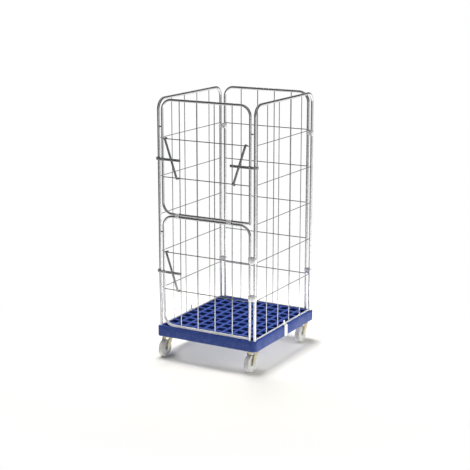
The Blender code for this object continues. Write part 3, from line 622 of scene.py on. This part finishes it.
def buildClip(node, body, firstTube, secondTube, tubeRadius, across, width):
    first, second, across = Vector(firstTube), Vector(secondTube), Vector(across)
    gap = (second - first).length
    heading = (second - first).normalized()
    side = heading.cross(across)
    radius = tubeRadius + band["clearance"] + band["thickness"] / 2
    start = first + side * radius
    shape = bmesh.new()
    strip = startStrip(shape, start, across, width)
    sweep(shape, strip, start, heading, across, [
        ("go", gap), ("turn", radius, 180, 12), ("go", gap), ("turn", radius, 180, 12)])
    piece = settle(objectOf(shape, f"{node}_band"), [wallOf(band["thickness"]), softEdge(band["edge"])])
    rivets = bmesh.new()
    middle = (first + second) / 2
    for way in (-1, 1):
        outer = radius + band["thickness"] / 2
        ends = [middle + side * way * (outer + out) for out in (-0.0008, 0.0007)]
        addRod(rivets, *ends, band["rivet"], 16, band["rivet"] * 0.7)
    settle(piece, [joinTo(objectOf(rivets, "clipRivets"))])
    finishPiece(piece, body, "litClipZinc", [node])


def postOf(node, sideX, sideY):
    low, high, _, size = boxOf(node)
    radius = min(size.x, size.y) / 2
    return Vector((high.x - radius if sideX > 0 else low.x + radius,
                   high.y - radius if sideY > 0 else low.y + radius, 0))


for side, sign in (("left", -1), ("right", 1)):
    for level in ("upper", "lower"):
        node = f"{side}_{level}_corner_clip"
        _, _, centre, size = boxOf(node)
        up = Vector((0, 0, centre.z))
        buildClip(node, "cage", postOf(f"{side}_wall_frame", sign, 1) + up,
                  postOf("back_wall_frame", sign, 1) + up, sideRadius, (0, 0, 1), size.z)
doorLow, doorHigh, doorCentre, doorSize = boxOf("lower_door_frame")
frontRadius = doorSize.y / 2
for level in ("upper", "lower"):
    node = f"{level}_door_hinge_clip"
    _, _, centre, size = boxOf(node)
    up = Vector((0, 0, centre.z))
    buildClip(node, "lower_door", postOf("right_wall_frame", 1, -1) + up,
              Vector((doorHigh.x - frontRadius, doorCentre.y, centre.z)), sideRadius, (0, 0, 1), size.z)
for side in ("left", "right"):
    node = f"{side}_fold_clip"
    _, _, centre, size = boxOf(node)
    lowAxis, highAxis = jointAt["clip_swing"], jointAt["panel_fold"]
    buildClip(node, "fold_clips", (centre.x, lowAxis.y, lowAxis.z), (centre.x, highAxis.y, highAxis.z),
              frontRadius, (1, 0, 0), size.x)
print("clips built")


# stop studs, side hooks

def turned(shape, points, at, axis, steps=24):
    axis = Vector(axis).normalized()
    turn = frameTo(at, axis)
    verts = [shape.verts.new(turn @ Vector((radius, 0, along))) for radius, along in points]
    edges = [shape.edges.new(pair) for pair in zip(verts, verts[1:])]
    bmesh.ops.spin(shape, geom=verts + edges, cent=at, axis=axis, angle=math.tau, steps=steps, use_merge=True)


stops = {"upper_left_stop": "upper_panel", "upper_right_stop": "upper_panel", "lower_left_stop": "lower_door"}
for node, body in stops.items():
    low, high, centre, size = boxOf(node)
    way = 1 if centre.x > 0 else -1
    start = Vector((low.x if way > 0 else high.x, centre.y, centre.z))
    radius, length = size.z / 2, size.x
    shape = bmesh.new()
    turned(shape, [(0, -0.001), (radius * 0.8, -0.001), (radius * 0.8, length * 0.45), (radius, length * 0.45),
                   (radius, length * 0.85), (radius * 0.75, length), (0, length)], start, (way, 0, 0))
    finishPiece(settle(objectOf(shape, f"{node}_stud"), [softEdge(0.0003)]), body, "darkZinc", [node])

hook = {
    "tongue": 0.017, "plate": 0.038, "beside": 0.0075, "rise": 0.030, "thickness": 0.002,
    "curl": 0.0068, "curlWidth": 0.012, "curlTurn": 165,
}
for side, sign in (("left", -1), ("right", 1)):
    axisAt = jointAt[f"{side}_hook_swing"]
    pole = Vector((0, -sign, 0))
    shape = bmesh.new()
    start = axisAt + Vector((sign * hook["beside"], 0, hook["rise"]))
    drop = axisAt.z - 0.0021 - 0.002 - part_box(f"{side}_side_hook")[0].z - hook["thickness"] / 2
    strip = startStrip(shape, start, (0, 1, 0), hook["tongue"])
    sweep(shape, strip, start, (0, 0, -1), pole, [
        ("go", 0.0205), ("widen", 0.0055, hook["plate"] / hook["tongue"]), ("turn", 0.0015, 75, 4),
        ("go", 0.0123),
        ("turn", 0.0015, -75, 4), ("go", drop), ("turn", 0.002, -90, 4), ("go", 0.007)])
    piece = objectOf(shape, f"{side}_hook_plate")
    curl = bmesh.new()
    curlStart = axisAt + Vector((sign * hook["curl"], 0, -0.001))
    curlStrip = startStrip(curl, curlStart, (0, 1, 0), hook["curlWidth"])
    sweep(curl, curlStrip, curlStart, (0, 0, 1), pole, [
        ("go", 0.001), ("turn", hook["curl"], hook["curlTurn"], 14)])
    ring = settle(objectOf(curl, "hookCurl"), [wallOf(hook["thickness"])])
    settle(piece, [wallOf(hook["thickness"]), joinTo(ring), softEdge(0.0004)])
    finishPiece(piece, f"{side}_hook", "brightZinc", [f"{side}_side_hook"])
print("studs and side hooks built")


# latches

latchSizes = {
    "leverWidth": 0.015, "leverThickness": 0.0025, "back": 0.0075, "topLip": 0.003, "lowLip": 0.003,
    "run": 0.082, "guideThickness": 0.0015, "guideBend": 0.0012,
    "slotHalf": 0.0036, "slotFrom": 0.1277, "slotTo": 0.1357, "rib": 0.0021,
    "barThickness": 0.0025, "barSlot": 0.0032, "barSlotHalf": 0.009, "barSlotAway": 0.027,
    "groove": 0.0009, "tail": 0.010,
}


def longCutter(name, first, second, across, radius, depth):
    shape = bmesh.new()
    for at in (Vector(first), Vector(second)):
        for side in (-1, 1):
            spot = frameTo(at + Vector(across) * depth * side, across)
            bmesh.ops.create_circle(shape, segments=20, radius=radius, matrix=spot)
    bmesh.ops.delete(shape, geom=list(shape.edges), context="EDGES_FACES")
    bmesh.ops.convex_hull(shape, input=shape.verts[:])
    spare = [v for v in shape.verts if not v.link_faces]
    bmesh.ops.delete(shape, geom=spare, context="VERTS")
    return objectOf(shape, name)


def buildLatch(name, body, lowStep, highStep):
    sign = -1 if "left" in name else 1
    pivot = jointAt[f"{name}_lever_swing"]
    low = boxOf(f"{name}_latch_lever")[0]
    front = low.y + latchSizes["leverThickness"] / 2 - pivot.y
    rise = levelAt(highStep) - levelAt(lowStep)
    lean = math.atan2(latchSizes["run"], rise)
    length = math.hypot(latchSizes["run"], rise)
    back = latchSizes["back"]
    curl = (back - front) / 2
    shape = bmesh.new()
    start = Vector((0, back, -latchSizes["topLip"]))
    strip = startStrip(shape, start, (1, 0, 0), latchSizes["leverWidth"])
    sweep(shape, strip, start, (0, 0, 1), (1, 0, 0), [
        ("go", latchSizes["topLip"]), ("turn", curl, 180, 12), ("go", 0.118), ("go", 0.03),
        ("go", length - 0.148),
        ("turn", curl, 180, 12), ("go", latchSizes["lowLip"])])
    piece = objectOf(shape, f"{name}_lever")
    slot = longCutter("leverSlot", (0, front, -latchSizes["slotFrom"]), (0, front, -latchSizes["slotTo"]),
                      (0, 1, 0), latchSizes["slotHalf"], 0.006)
    ribs = bmesh.new()
    for top, bottom in ((0.016, 0.113), (0.151, length - 0.012)):  # a pressed rib stiffens the strip
        face = front - latchSizes["leverThickness"] / 2
        addRod(ribs, (0, face + 0.0009, -top), (0, face + 0.0009, -bottom), latchSizes["rib"], 12)
        for z in (top, bottom):
            addBead(ribs, (0, face + 0.0009, -z), latchSizes["rib"], (1, 1, 1), 8)
    settle(piece, [wallOf(latchSizes["leverThickness"]), cutBy(slot), softEdge(0.0005)])
    ribPiece = settle(objectOf(ribs, "leverRibs"))
    place = Matrix.Translation(pivot) @ Matrix.Rotation(sign * lean, 4, "Y")
    joinMeshes(piece, ribPiece)
    piece.data.transform(place)
    finishPiece(piece, f"{name}_lever", "darkZinc", [f"{name}_latch_lever"], "brightZinc")
    down = place.to_3x3() @ Vector((0, 0, -1))
    for face in piece.data.polygons:  # painted highlights: the faces near the curled ends take the bright zinc, where the bends catch the light
        along = (face.center - pivot).dot(down)
        paintedHighlight = length - 0.034 < along < length - 0.012 or (sign > 0 and 0.012 < along < 0.034)
        face.material_index = int(paintedHighlight)

    barLow, barHigh, barCentre, barSize = boxOf(f"{name}_lock_bar")
    post = postOf("right_wall_frame" if sign > 0 else "left_wall_frame", sign, -1)
    barY = barLow.y + latchSizes["barThickness"] / 2
    turn = post.y - barY
    inner = barLow.x if sign > 0 else barHigh.x
    rivetLow, rivetHigh, rivetCentre, _ = boxOf(f"{name}_latch_rivet")
    shape = bmesh.new()
    start = Vector((inner, barY, barCentre.z))
    strip = startStrip(shape, start, (0, 0, 1), barSize.z)
    marks = [0.02, abs(rivetCentre.x - inner), abs(post.x - inner)]
    sweep(shape, strip, start, (sign, 0, 0), (0, 0, sign), [
        ("go", marks[0]), ("go", marks[1] - marks[0]), ("go", marks[2] - marks[1]),
        ("turn", turn, 90, 10), ("go", latchSizes["tail"])])
    bar = objectOf(shape, f"{name}_bar")
    at = Vector((rivetCentre.x, barY, barCentre.z))
    steps = [wallOf(latchSizes["barThickness"])]
    for offset in (-latchSizes["barSlotAway"], latchSizes["barSlotAway"]):
        middle = at + Vector((offset, 0, 0))
        half = Vector((latchSizes["barSlotHalf"], 0, 0))
        middle.y -= latchSizes["barThickness"] / 2 + 0.006 - latchSizes["groove"]
        groove = longCutter("barGroove", middle - half, middle + half, (0, 1, 0), latchSizes["barSlot"],
                            0.006)
        steps.append(cutBy(groove))
    hole = bmesh.new()
    addRod(hole, at - Vector((0, 0.006, 0)), at + Vector((0, 0.006, 0)), 0.003, 20)
    steps += [cutBy(objectOf(hole, "rivetHole")), softEdge(0.0005)]
    finishPiece(settle(bar, steps), f"{name}_bar", "darkZinc", [f"{name}_lock_bar"])

    shape = bmesh.new()
    depth = rivetHigh.y - rivetLow.y
    radius = (rivetHigh.x - rivetLow.x) / 2
    turned(shape, [(0, 0), (radius * 0.6, 0.0002), (radius, 0.0010), (radius, 0.0013), (0.0025, 0.0013),
                   (0.0025, depth - 0.001), (radius * 0.75, depth - 0.001), (radius * 0.7, depth), (0, depth)],
           Vector((rivetCentre.x, rivetLow.y, rivetCentre.z)), (0, 1, 0))
    rivet = settle(objectOf(shape, f"{name}_rivet"))
    finishPiece(rivet, f"{name}_bar", "yellowZinc", [f"{name}_latch_rivet"])

    low, high, centre, size = boxOf(f"{name}_bar_guide")
    thick, bendAt = latchSizes["guideThickness"], latchSizes["guideBend"]
    shape = bmesh.new()
    start = Vector((centre.x, high.y, high.z - thick / 2))
    strip = startStrip(shape, start, (1, 0, 0), size.x)
    sweep(shape, strip, start, (0, -1, 0), (1, 0, 0), [
        ("go", size.y - thick / 2 - bendAt), ("turn", bendAt, 90, 4), ("go", size.z - thick - 2 * bendAt),
        ("turn", bendAt, 90, 4), ("go", size.y - thick / 2 - bendAt)])
    guide = settle(objectOf(shape, f"{name}_guide"), [wallOf(thick), softEdge(0.0003)])
    finishPiece(guide, body, "brightZinc", [f"{name}_bar_guide"])


def joinMeshes(piece, other):
    shape = bmesh.new()
    shape.from_mesh(piece.data)
    shape.from_mesh(other.data)
    shape.to_mesh(piece.data)
    shape.free()
    bpy.data.objects.remove(other, do_unlink=True)
    piece.data.shade_smooth()
    piece.data.set_sharp_from_angle(angle=math.radians(35))


buildLatch("upper_left", "upper_panel", 4, 5)
buildLatch("upper_right", "upper_panel", 4, 5)
buildLatch("lower_left", "lower_door", 1, 2)
print("latches built")


# castors

castor = {
    "boltX": 0.031, "boltY": 0.038, "boltHead": 0.0065, "boltDeep": 0.0038, "washer": 0.0085,
    "plateCorner": 0.010, "pin": 0.0056, "pinNut": 0.0104, "pinBore": 0.0062, "pinEnd": 0.0048,
    "race": 0.0285, "axle": 0.0054, "axleBore": 0.006, "axleHead": 0.0092, "axleWasher": 0.0095,
    "boss": 0.013, "sheet": 0.003, "crownFront": -0.026, "crownBack": 0.024,
    "tread": 0.005, "recess": 0.004, "recessOuter": 0.040, "hub": 0.0185, "bearing": 0.0115,
}


def buildCastor(place):
    fork, wheel = f"{place}_fork", f"{place}_wheel"
    plateLow, plateHigh, plateCentre, plateSize = boxOf(f"{place}_castor_plate")
    forkLow, forkHigh, forkCentre, forkSize = boxOf(f"{place}_castor_fork")
    wheelLow, wheelHigh, wheelCentre, wheelSize = boxOf(f"{place}_castor_wheel")
    pinLow, pinHigh, pinCentre, _ = boxOf(f"{place}_castor_kingpin")
    axleLow, axleHigh, axleCentre, axleSize = boxOf(f"{place}_castor_axle")
    sheetTop = plateHigh.z - 0.004
    shape = bmesh.new()
    verts = addBlock(shape, (plateLow.x, plateLow.y, sheetTop), plateHigh)
    roundEdges(shape, uprightEdges(verts, 0.002), castor["plateCorner"], 5)
    plate = objectOf(shape, f"{place}_mount")
    race = bmesh.new()
    raceTop, raceLow = sheetTop + 0.001, plateLow.z
    slim, wide = castor["pinBore"], castor["race"]
    turned(race, [(slim, raceTop), (wide, raceTop), (wide, raceTop - 0.0022), (0.026, raceLow),
                  (slim, raceLow), (slim, raceTop)],
           Vector((plateCentre.x, plateCentre.y, 0)), (0, 0, 1), 36)
    hole = bmesh.new()
    addRod(hole, (plateCentre.x, plateCentre.y, raceLow - 0.01),
           (plateCentre.x, plateCentre.y, plateHigh.z + 0.01), castor["pinBore"], 24)
    settle(plate, [cutBy(objectOf(hole, "pinHole")), softEdge(0.0007)])
    extras = objectOf(race, "race")
    settle(extras, [softEdge(0.0005)])
    joinMeshes(plate, extras)
    bolts = bmesh.new()
    for x in (-1, 1):
        for y in (-1, 1):
            at = Vector((plateCentre.x + x * castor["boltX"], plateCentre.y + y * castor["boltY"], sheetTop))
            addRod(bolts, at + Vector((0, 0, 0.0002)), at - Vector((0, 0, 0.0011)), castor["washer"], 20)
            head = addRod(bolts, at - Vector((0, 0, 0.0010)), at - Vector((0, 0, castor["boltDeep"])),
                          castor["boltHead"], 6)
            roundEdges(bolts, [e for e in edgesOf(head) if abs(e.verts[0].co.z - e.verts[1].co.z) < 0.0001
                               and e.verts[0].co.z < sheetTop - 0.003], 0.0006, 2)
    joinMeshes(plate, settle(objectOf(bolts, "bolts")))
    finishPiece(plate, "cage", "yellowZinc", [f"{place}_castor_plate"])

    shape = bmesh.new()
    nutTop = pinLow.z + 0.005
    addRod(shape, (pinCentre.x, pinCentre.y, nutTop), (pinCentre.x, pinCentre.y, pinHigh.z), castor["pin"], 20)
    nut = addRod(shape, (pinCentre.x, pinCentre.y, pinLow.z), (pinCentre.x, pinCentre.y, nutTop),
                 castor["pinNut"], 6)
    roundEdges(shape, [e for e in edgesOf(nut) if abs(e.verts[0].co.z - e.verts[1].co.z) < 0.0001], 0.0006, 2)
    addRod(shape, (pinCentre.x, pinCentre.y, pinLow.z - 0.004), (pinCentre.x, pinCentre.y, pinLow.z + 0.001),
           castor["pinEnd"], 20)
    finishPiece(settle(objectOf(shape, f"{place}_pin")), "cage", "darkZinc", [f"{place}_castor_kingpin"])

    crownTop = sheetTop - 0.0073
    outer = forkSize.x / 2
    inner = outer - castor["sheet"]
    cx, cy = forkCentre.x, pinCentre.y
    hubY, hubZ = wheelCentre.y, wheelCentre.z
    shape = bmesh.new()
    crown = addBlock(shape, (cx - outer, cy + castor["crownFront"], crownTop - 0.004),
                     (cx + outer, cy + castor["crownBack"], crownTop))
    roundEdges(shape, [e for e in edgesOf(crown) if abs(e.verts[0].co.y - e.verts[1].co.y) > 0.02
                       and e.verts[0].co.z > crownTop - 0.001], 0.0028, 3)
    piece = objectOf(shape, f"{place}_yoke")
    steps = []
    for side in (-1, 1):
        leg = bmesh.new()
        for x in (cx + side * inner, cx + side * outer):
            for y in (castor["crownFront"], castor["crownBack"]):
                leg.verts.new((x, cy + y, crownTop - 0.0025))
                leg.verts.new((x, cy + y, crownTop - 0.0075))
            bossAt = frameTo((x, hubY, hubZ), (1, 0, 0))
            bmesh.ops.create_circle(leg, segments=28, radius=castor["boss"], matrix=bossAt)
        bmesh.ops.delete(leg, geom=list(leg.edges), context="EDGES_FACES")
        bmesh.ops.convex_hull(leg, input=leg.verts[:])
        bmesh.ops.delete(leg, geom=[v for v in leg.verts if not v.link_faces], context="VERTS")
        steps.append(joinTo(objectOf(leg, "leg")))
    ring = bmesh.new()
    addRod(ring, (cx, cy, crownTop - 0.002), (cx, cy, forkHigh.z), 0.0262, 36, 0.0245)
    steps.append(joinTo(objectOf(ring, "lowerRace")))
    bore = bmesh.new()
    addRod(bore, (cx, cy, crownTop - 0.02), (cx, cy, forkHigh.z + 0.01), castor["pinBore"], 24)
    addRod(bore, (cx - outer - 0.01, hubY, hubZ), (cx + outer + 0.01, hubY, hubZ), castor["axleBore"], 24)
    steps += [cutBy(objectOf(bore, "bores")), softEdge(0.0007)]
    settle(piece, steps)
    finishPiece(piece, fork, "yellowZinc", [f"{place}_castor_fork"])

    half, radius = wheelSize.x / 2, wheelSize.z / 2
    shape = bmesh.new()
    t = castor["tread"]
    side = [(radius - t, half), (radius - t * 0.35, half - t * 0.18), (radius - t * 0.08, half - t * 0.6),
            (radius, half - t * 1.3)]
    rim = side + [(r, -x) for r, x in reversed(side)]
    face = [(castor["recessOuter"] + 0.002, half), (castor["recessOuter"] - 0.001, half - 0.001),
            (castor["recessOuter"] - 0.0025, half - castor["recess"]),
            (castor["hub"] + 0.002, half - castor["recess"]),
            (castor["hub"], half - 0.001), (castor["hub"] - 0.001, half), (castor["bearing"] + 0.0005, half),
            (castor["bearing"], half - 0.001), (0.0075, half - 0.001), (0.0060, half - 0.0004)]
    outline = rim + [(r, -x) for r, x in face] + list(reversed(face)) + [rim[0]]
    turned(shape, outline, Vector((wheelCentre.x, hubY, hubZ)), (1, 0, 0), 56)
    piece = settle(objectOf(shape, f"{place}_roller"), [], 50)
    finishPiece(piece, wheel, "whiteNylon", [f"{place}_castor_wheel"], "hubGrey")
    for polygon in piece.data.polygons:
        at = polygon.center
        if math.hypot(at.y - hubY, at.z - hubZ) < castor["bearing"]:
            polygon.material_index = 1

    shape = bmesh.new()
    addRod(shape, (axleLow.x + 0.003, hubY, hubZ), (axleHigh.x - 0.003, hubY, hubZ), castor["axle"], 20)
    for sign, start in ((-1, axleLow.x), (1, axleHigh.x)):
        head = addRod(shape, (start, hubY, hubZ), (start - sign * 0.0034, hubY, hubZ), castor["axleHead"], 6)
        outerEdges = [e for e in edgesOf(head) if all(abs(v.co.x - start) < 0.0001 for v in e.verts)]
        roundEdges(shape, outerEdges, 0.0007, 2)
        addRod(shape, (start - sign * 0.0033, hubY, hubZ), (start - sign * 0.0044, hubY, hubZ),
               castor["axleWasher"], 24)
    finishPiece(settle(objectOf(shape, f"{place}_bolt")), fork, "darkZinc", [f"{place}_castor_axle"])


for place in ("front_left", "front_right", "rear_left", "rear_right"):
    buildCastor(place)
print("castors built")


# floor, light and camera

studio = {
    "skyLight": 0.13, "backdrop": 1.0, "fadeFrom": 0.95, "fadeTo": 1.9,
    "rightWay": (0.870, 0.493, 0.0),  # level, towards the brighter side
    "overhead": 0.42, "sides": 0.02,
    "near": 1.55, "far": 0.50, "nearRadius": 0.9, "farRadius": 4.2, "leftSide": 0.32, "rightSide": 1.7,
    "lens": 94.912, "eye": (3.8138, -6.7359, 2.6072), "yaw": 29.546, "pitch": 13.444,
}
lamps = {
    "overhead": {"at": (-1.0, 0.7, 4.2), "size": 2.2, "power": 250, "aim": (0.1, 0, 0.2)},
    "rightBox": {"at": (4.5, 0.8, 2.4), "size": 2.2, "power": 105, "aim": (0, 0, 0.7)},
    "frontFill": {"at": (-0.5, -6.0, 2.6), "size": 3.0, "power": 16, "aim": (0, 0, 0.7)},
}


def sideways(tree, vector):
    node = addNode(tree, "ShaderNodeVectorMath", operation="DOT_PRODUCT")
    tree.links.new(vector, node.inputs[0])
    node.inputs[1].default_value = studio["rightWay"]
    return node.outputs["Value"]


def floorMaterial():
    made = bpy.data.materials.new("paleFloor")
    made.use_nodes = True
    tree = made.node_tree
    shader = tree.nodes["Principled BSDF"]
    place = addNode(tree, "ShaderNodeTexCoord").outputs["Object"]
    tone = blendColour(tree, noise(tree, place, 1.5, 3), (0.93, 0.915, 0.87), (0.90, 0.885, 0.84))
    tree.links.new(tone, shader.inputs["Base Color"])
    shader.inputs["Roughness"].default_value = 0.9
    shader.inputs["Specular IOR Level"].default_value = 0.1
    # painted reflection: mirrored rays see the floor glow, bright round the object and on the right, dim on
    # the left
    length = addNode(tree, "ShaderNodeVectorMath", operation="LENGTH")
    tree.links.new(place, length.inputs[0])
    away = length.outputs["Value"]
    around = spread(tree, away, studio["nearRadius"], studio["farRadius"], studio["near"], studio["far"])
    across = spread(tree, sideways(tree, place), -2.5, 2.5, studio["leftSide"], studio["rightSide"])
    glow = addNode(tree, "ShaderNodeEmission")
    tree.links.new(mathNode(tree, "MULTIPLY", around, across), glow.inputs["Strength"])
    sweepAway = addNode(tree, "ShaderNodeMixShader")  # the floor runs out into a white backdrop
    tree.links.new(spread(tree, away, studio["fadeFrom"], studio["fadeTo"], 0, 1), sweepAway.inputs[0])
    tree.links.new(shader.outputs[0], sweepAway.inputs[1])
    tree.links.new(addNode(tree, "ShaderNodeEmission").outputs[0], sweepAway.inputs[2])
    both = addNode(tree, "ShaderNodeMixShader")
    tree.links.new(addNode(tree, "ShaderNodeLightPath").outputs["Is Glossy Ray"], both.inputs[0])
    tree.links.new(sweepAway.outputs[0], both.inputs[1])
    tree.links.new(glow.outputs[0], both.inputs[2])
    tree.links.new(both.outputs[0], tree.nodes["Material Output"].inputs["Surface"])
    return made


def addFloor():
    shape = bmesh.new()
    bmesh.ops.create_grid(shape, x_segments=1, y_segments=1, size=60)
    floor = objectOf(shape, "floor")
    floor.data.materials.append(floorMaterial())


def addLamps():
    for name, lamp in lamps.items():
        light = bpy.data.lights.new(name, "AREA")
        light.size = lamp["size"]
        light.energy = lamp["power"]
        holder = bpy.data.objects.new(name, light)
        holder.location = lamp["at"]
        holder.rotation_euler = (Vector(lamp["at"]) - Vector(lamp["aim"])).to_track_quat("Z", "Y").to_euler()
        holder.visible_glossy = False
        scene.collection.objects.link(holder)


def addWorld():
    world = bpy.data.worlds.new("studio")
    world.use_nodes = True
    tree = world.node_tree
    back = tree.nodes["Background"]
    heading = addNode(tree, "ShaderNodeTexCoord").outputs["Generated"]
    path = addNode(tree, "ShaderNodeLightPath").outputs
    upward = addNode(tree, "ShaderNodeSeparateXYZ")
    tree.links.new(heading, upward.inputs[0])
    away = mathNode(tree, "ABSOLUTE", sideways(tree, heading))
    shade = spread(tree, away, 0.22, 0.5, studio["overhead"], studio["sides"])
    # strength for mirrored, seen and scattered light, one after another
    strength = addNode(tree, "ShaderNodeMix", data_type="FLOAT")
    strength.inputs["A"].default_value = studio["skyLight"]
    tree.links.new(path["Is Glossy Ray"], strength.inputs["Factor"])
    tree.links.new(shade, strength.inputs["B"])
    seen = addNode(tree, "ShaderNodeMix", data_type="FLOAT")
    tree.links.new(strength.outputs["Result"], seen.inputs["A"])
    seen.inputs["B"].default_value = studio["backdrop"]
    tree.links.new(path["Is Camera Ray"], seen.inputs["Factor"])
    tree.links.new(seen.outputs["Result"], back.inputs["Strength"])
    back.inputs["Color"].default_value = (1, 1, 1, 1)
    scene.world = world


def addCamera():
    lens = bpy.data.cameras.new("camera")
    lens.lens = studio["lens"]
    lens.sensor_width = 36
    lens.clip_end = 200
    eye = bpy.data.objects.new("camera", lens)
    eye.location = studio["eye"]
    eye.rotation_euler = (math.radians(90 - studio["pitch"]), 0, math.radians(studio["yaw"]))
    scene.collection.objects.link(eye)
    scene.camera = eye


addFloor()
addLamps()
addWorld()
addCamera()
scene.view_settings.view_transform = "Standard"
print("floor, light and camera placed")
